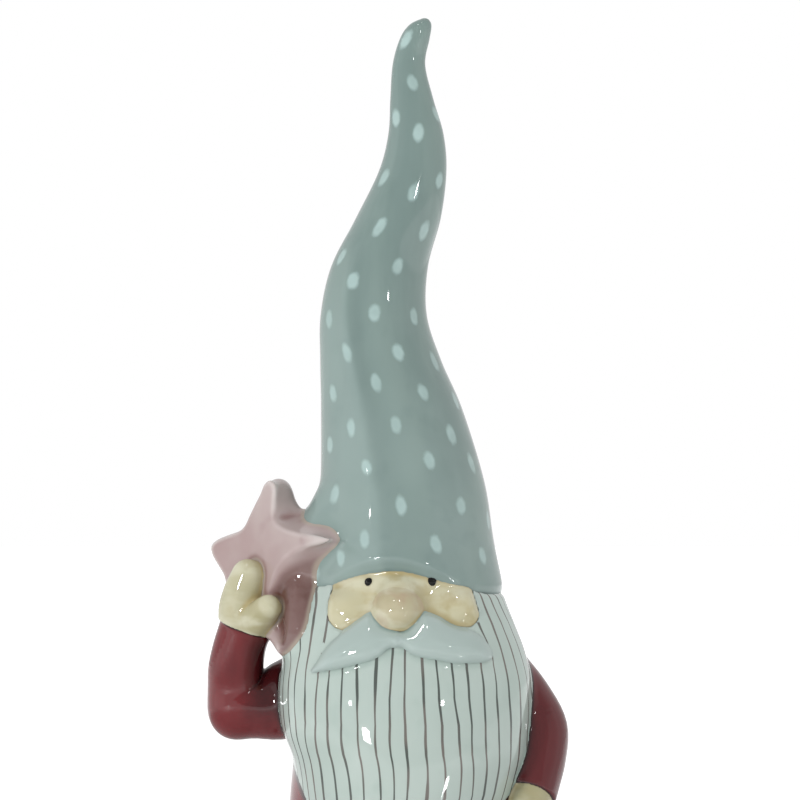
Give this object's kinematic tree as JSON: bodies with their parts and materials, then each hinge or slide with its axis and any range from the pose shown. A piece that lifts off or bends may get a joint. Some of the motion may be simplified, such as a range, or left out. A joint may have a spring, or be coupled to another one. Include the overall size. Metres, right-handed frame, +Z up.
{
  "type": "gnome figurine",
  "caption": "Tall glazed ceramic gnome figurine in a long bent pointed hat, with a full beard, holding up a star; it stands on a round felt base.",
  "frame": {"origin": "middle of the felt underside, on the surface that the figurine stands on", "axes": "+Z up along the hat, the face looks along -Y, the raised arm is on the -X side"},
  "size_m": [0.1545, 0.1295, 0.45],
  "materials": {
    "burgundy_glaze": "glossy",
    "sage_glaze": "glossy",
    "skin_glaze": "glossy",
    "white_glaze": "glossy",
    "rose_glaze": "glossy",
    "black_glaze": "glossy",
    "charcoal_glaze": "glossy",
    "felt": "matt"
  },
  "bodies": {
    "root": {"felt_base": "felt", "coat_casting": "burgundy_glaze", "head_casting": "skin_glaze", "hat_casting": "sage_glaze", "beard_casting": "white_glaze", "nose": "skin_glaze", "star": "rose_glaze", "raised_sleeve": "burgundy_glaze", "raised_hand": "skin_glaze", "lowered_sleeve": "burgundy_glaze", "lowered_hand": "skin_glaze", "moustache_right": "white_glaze", "moustache_left": "white_glaze", "eye_right": "black_glaze", "eye_left": "black_glaze", "boot_right": "charcoal_glaze", "boot_left": "charcoal_glaze"}
  },
  "joints": []
}
